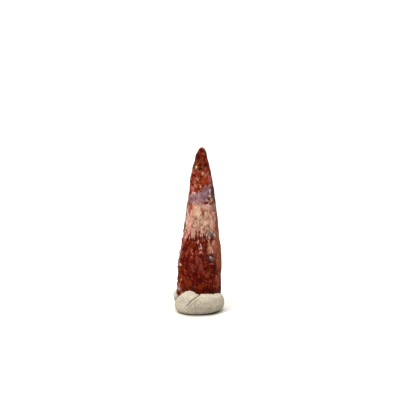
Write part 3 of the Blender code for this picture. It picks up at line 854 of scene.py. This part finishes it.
enamel = {
    # grains: size in mm, stretch in height, detail, contrast
    "fine": (0.22, 1.15, 2.0, 1.0), "coarse": (0.55, 1.6, 3.0, 1.3), "streak": (0.3, 7.0, 2.0, 1.2),
    "broad": (2.2, 2.0, 2.0, 1.2), "fingers": (0.4, 6.0, 2.0, 2.0), "blotch": (0.7, 2.2, 2.0, 2.4),
    "tiny": (0.07, 1.6, 2.0, 1.0),
    "facets": {"Size": 0.24, "Stretch": 1.4}, "facetDrift": 0.35,
    # the share of each in the mottling, and the level it starts from
    "mottle": {"fine": 1.1, "coarse": 0.5, "streak": 0.4, "facet": 0.42, "hollow": -0.16, "broad": 0.45},
    "mottleLevel": -0.71,
    # colours as seen, from the darkest of the mottling to the lightest
    "rampSteps": (0.18, 0.36, 0.5, 0.64, 0.82),
    "zones": {
        "oxblood": ((66, 2, 1), (86, 14, 5), (104, 31, 13), (126, 50, 29), (156, 80, 56)),
        "cream": ((150, 98, 80), (176, 128, 108), (196, 152, 131), (212, 170, 148), (230, 190, 164)),
        "mauve": ((108, 70, 70), (130, 96, 102), (142, 106, 111), (154, 118, 122), (178, 140, 142)),
        "upper": ((90, 26, 10), (118, 47, 27), (132, 60, 38), (152, 78, 56), (186, 112, 92)),
        "tip": ((58, 8, 4), (88, 30, 17), (100, 39, 23), (116, 50, 31), (142, 74, 52)),
    },
    # lower borders of the other zones: height in mm, slope to the right, how far they wander and finger
    "borders": {
        "cream": (10.75, 0.1, 0.7, 0.8), "mauve": (15.15, 0.15, 0.5, 0.5),
        "upper": (16.9, 0.45, 0.5, 0.55), "tip": (20.1, 0.0, 0.5, 0.4),
    },
    "borderGrain": {"fine": 0.8, "coarse": 0.9}, "borderBlur": 0.22,
    # the cream part blushes in places and is greyer in others: colour, from and to which blotch, strength
    "creamFrom": (10.5, 11.5), "creamTo": (16.2, 14.8),
    "blushes": (((208, 142, 120), 0.5, 0.85, 0.7), ((168, 134, 112), 0.42, 0.12, 0.55)),
    # the marks, each laid over the one before it: colour and softness
    "marks": {
        "umber": ((122, 50, 26), 0.45), "plum": ((132, 66, 54), 0.45), "fawn": ((156, 122, 92), 0.2),
        "tan": ((168, 98, 74), 0.4), "ochre": ((118, 68, 34), 0.2), "rust": ((152, 54, 20), 0.2),
        "redBrown": ((148, 60, 42), 0.2), "crimson": ((140, 44, 38), 0.2), "maroon": ((88, 16, 8), 0.2),
        "olive": ((86, 48, 28), 0.3), "slate": ((134, 104, 102), 0.3), "rose": ((182, 96, 88), 0.2),
        "peach": ((212, 150, 118), 0.3), "bright": ((230, 194, 158), 0.5), "salmon": ((232, 156, 140), 0.2),
        "pink": ((216, 146, 128), 0.2), "orange": ((190, 102, 72), 0.2), "lilac": ((202, 172, 176), 0.2),
        # of these, the cream marks are painted highlights
        "pale": ((224, 180, 164), 0.2), "cream": ((242, 208, 174), 0.2), "cavity": ((84, 3, 1), 0.2),
    },
    "markShade": {"To_Min": 0.66, "To_Max": 1.2}, "markRagged": 1.5, "markStrength": 0.85,
    "paleSpecks": {"Size": 0.34, "Stretch": 1.4, "Share": 0.16}, "paleColour": (198, 128, 104),
    # from few to more between these heights, and none above
    "paleRise": {"From_Min": 6.0, "From_Max": 9.5, "To_Min": 0.03, "To_Max": 0.34}, "paleTop": (20.6, 19.0),
    "darkSpecks": {"Size": 0.3, "Stretch": 1.5, "Share": 0.2}, "darkShift": (7.0, 3.0, 1.0),
    "darkTint": (0.42, 0.2, 0.16, 1.0), "darkStrength": 0.7, "darkCream": 0.6,  # that much weaker in the cream
    "pitColour": (48, 6, 4), "pitStrength": 0.6, "pitFrom": (0.35, 1.0),
    "rimTint": (0.3, 0.12, 0.1, 1.0), "rimStrength": 0.75,
    "roughness": 0.18, "roughGrain": 0.3, "roughPits": 0.3, "specular": 0.065,
    "relief": {"fine": 0.7, "streak": 0.5, "tiny": 0.3, "dome": 0.8, "dark": -0.3},
    "bump": {"Strength": 0.8, "Distance": 0.00006},  # metres
}


def zoneRamp(tree, mottle, zone):
    stops = [(step, underGloss(*tone)) for step, tone in zip(enamel["rampSteps"], enamel["zones"][zone])]
    return colourRamp(tree, mottle, stops)


def enamelMaterial():
    material, tree, shader = newMaterial("fossil enamel")
    here = positionInMm(tree)
    ripple = grainOf(tree, here, *enamel["fine"])
    fine = ripple["Value"]
    coarse = grainOf(tree, here, *enamel["coarse"])["Value"]
    drift = vectors(tree, "MULTIPLY", ripple["Drift"], (enamel["facetDrift"],) * 3)
    facet = use(tree, facets, Position=here, Drift=drift, **enamel["facets"])
    streak = grainOf(tree, here, *enamel["streak"])["Value"]
    broad = grainOf(tree, here, *enamel["broad"])["Value"]
    hollow = pointValue(tree, "hollow")
    # one mottling for every zone
    part = enamel["mottle"]
    mottle = weighed(tree, part, fine=fine, coarse=coarse, streak=streak, facet=facet["Tone"])
    mottle = sums(tree, "ADD", mottle, enamel["mottleLevel"])
    mottle = sums(tree, "MULTIPLY_ADD", hollow, part["hollow"], mottle, clamp=True)
    mottle = swung(tree, mottle, broad, part["broad"], True)
    # zones from the root up, with fingered borders
    split = place(tree, "SeparateXYZ", Vector=here).outputs
    fingers = grainOf(tree, here, *enamel["fingers"])["Value"]
    blur = enamel["borderBlur"]
    colour = zoneRamp(tree, mottle, "oxblood")
    for zone, (height, slope, wander, finger) in enamel["borders"].items():
        level = sums(tree, "SUBTRACT", split["Z"], height)
        level = sums(tree, "SUBTRACT", level, times(tree, split["X"], slope))
        swings = ((broad, 2 * wander), (fingers, 2 * finger), (fine, enamel["borderGrain"]["fine"]),
                  (coarse, enamel["borderGrain"]["coarse"]))
        for value, amount in swings:
            level = swung(tree, level, value, amount)
        colour = mixed(tree, stepped(tree, level, -blur, blur), colour, zoneRamp(tree, mottle, zone))
    creamFrom = stepped(tree, split["Z"], *enamel["creamFrom"])
    inCream = times(tree, creamFrom, stepped(tree, split["Z"], *enamel["creamTo"]))
    blotch = grainOf(tree, here, *enamel["blotch"])["Value"]
    for tone, start, end, strength in enamel["blushes"]:
        blush = times(tree, stepped(tree, blotch, start, end), times(tree, inCream, strength))
        colour = mixed(tree, blush, colour, underGloss(*tone))
    # the named marks, each shaded by the mottling; the cream marks among them are painted highlights
    shade = place(tree, "MapRange", Value=mottle, **enamel["markShade"]).outputs["Result"]
    rag = times(tree, sums(tree, "ADD", fine, coarse), 0.5)
    for kind, (tone, softness) in enamel["marks"].items():
        amount = pointValue(tree, kind + "Mark")
        mask = use(tree, fray, Amount=amount, Fray=rag, Ragged=enamel["markRagged"], Softness=softness)["Mask"]
        shaded = mixed(tree, 1.0, underGloss(*tone), shade, "MULTIPLY")
        colour = laid(tree, colour, mask, enamel["markStrength"], shaded)
    # stray pale and dark specks
    pale = use(tree, specks, Position=here, **enamel["paleSpecks"])["Mask"]
    more = place(tree, "MapRange", Value=split["Z"], **enamel["paleRise"]).outputs["Result"]
    pale = times(tree, pale, stepped(tree, split["Z"], *enamel["paleTop"]))
    colour = laid(tree, colour, pale, more, underGloss(*enamel["paleColour"]))
    elsewhere = vectors(tree, "ADD", here, enamel["darkShift"])
    dark = use(tree, specks, Position=elsewhere, **enamel["darkSpecks"])["Mask"]
    dark = times(tree, dark, sums(tree, "SUBTRACT", 1.0, times(tree, inCream, enamel["darkCream"])))
    colour = laid(tree, colour, dark, enamel["darkStrength"], enamel["darkTint"], "MULTIPLY")
    deep = stepped(tree, hollow, *enamel["pitFrom"])
    colour = laid(tree, colour, deep, enamel["pitStrength"], screenColour(*enamel["pitColour"]))
    rim = pointValue(tree, "rimShade")
    colour = laid(tree, colour, rim, enamel["rimStrength"], enamel["rimTint"], "MULTIPLY")
    # gloss: polished on the knobs, duller in the hollows
    rough = sums(tree, "MULTIPLY_ADD", coarse, enamel["roughGrain"], enamel["roughness"])
    rough = sums(tree, "MULTIPLY_ADD", deep, enamel["roughPits"], rough, clamp=True)
    tiny = grainOf(tree, here, *enamel["tiny"])["Value"]
    relief = weighed(tree, enamel["relief"], fine=fine, streak=streak, tiny=tiny, dome=facet["Dome"], dark=dark)
    bump = place(tree, "Bump", Height=relief, **enamel["bump"])
    feed(tree, shader, Base_Color=colour, Roughness=rough, Specular_IOR_Level=enamel["specular"],
         Normal=bump.outputs["Normal"])
    return material


clay = {
    # grains: size in mm, stretch in height, detail, contrast
    "fine": (0.13, 1.0, 3.0, 2.2), "broad": (0.8, 1.0, 3.0, 1.3),
    "fineShare": 0.65,                  # of the tone; the rest is the broad grain's
    "tones": ((0.15, (160, 148, 122)), (0.5, (195, 184, 163)), (0.85, (218, 209, 190))),
    "grit": {"Size": 0.26, "Stretch": 1.0, "Share": 0.26}, "gritColour": (138, 127, 102), "gritStrength": 0.5,
    # what is kept on the points: colour, raggedness and strength; darker in the dents, painted shade in the
    # finger-line valleys, along the furrow and in the fold's crease
    "lines": {"dent": ((150, 140, 116), 0.4, 0.5), "crease": ((124, 114, 92), 0.2, 0.4)},
    "lineSoftness": 0.35,
    "contact": (66, 66, 62),            # the shaded lower edge
    "contactFrom": 0.06, "contactTo": 0.24, "contactStrength": 0.8,  # mm above the floor
    "roughness": 0.72, "roughGrain": 0.2, "specular": 0.25,
    "bump": {"Strength": 0.6, "Distance": 0.00003}, "gritDip": 0.4,
}


def clayMaterial():
    material, tree, shader = newMaterial("grey mounting putty")
    here = positionInMm(tree)
    fine = grainOf(tree, here, *clay["fine"])["Value"]
    broad = grainOf(tree, here, *clay["broad"])["Value"]
    tone = times(tree, fine, clay["fineShare"])
    tone = sums(tree, "MULTIPLY_ADD", broad, 1 - clay["fineShare"], tone, True)
    colour = colourRamp(tree, tone, [(step, screenColour(*shown)) for step, shown in clay["tones"]])
    grit = use(tree, specks, Position=here, **clay["grit"])["Mask"]
    colour = laid(tree, colour, grit, clay["gritStrength"], screenColour(*clay["gritColour"]))
    # darker in the dents; painted shade in the finger-line valleys, the furrow and the crease
    for kind, (shown, ragged, strength) in clay["lines"].items():
        amount = pointValue(tree, kind)
        mask = use(tree, fray, Amount=amount, Fray=fine, Ragged=ragged, Softness=clay["lineSoftness"])["Mask"]
        colour = laid(tree, colour, mask, strength, screenColour(*shown))
    height = place(tree, "SeparateXYZ", Vector=here).outputs["Z"]
    contact = stepped(tree, height, clay["contactTo"], clay["contactFrom"])
    colour = laid(tree, colour, contact, clay["contactStrength"], screenColour(*clay["contact"]))
    rough = sums(tree, "MULTIPLY_ADD", broad, clay["roughGrain"], clay["roughness"])
    relief = sums(tree, "SUBTRACT", fine, times(tree, grit, clay["gritDip"]))
    bump = place(tree, "Bump", Height=relief, **clay["bump"])
    feed(tree, shader, Base_Color=colour, Roughness=rough, Specular_IOR_Level=clay["specular"],
         Normal=bump.outputs["Normal"])
    return material


tooth.data.materials.append(enamelMaterial())
putty.data.materials.append(clayMaterial())
print("materials ready")

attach(tooth, "root")
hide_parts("tooth")
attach(putty, "root")
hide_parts("putty_base")
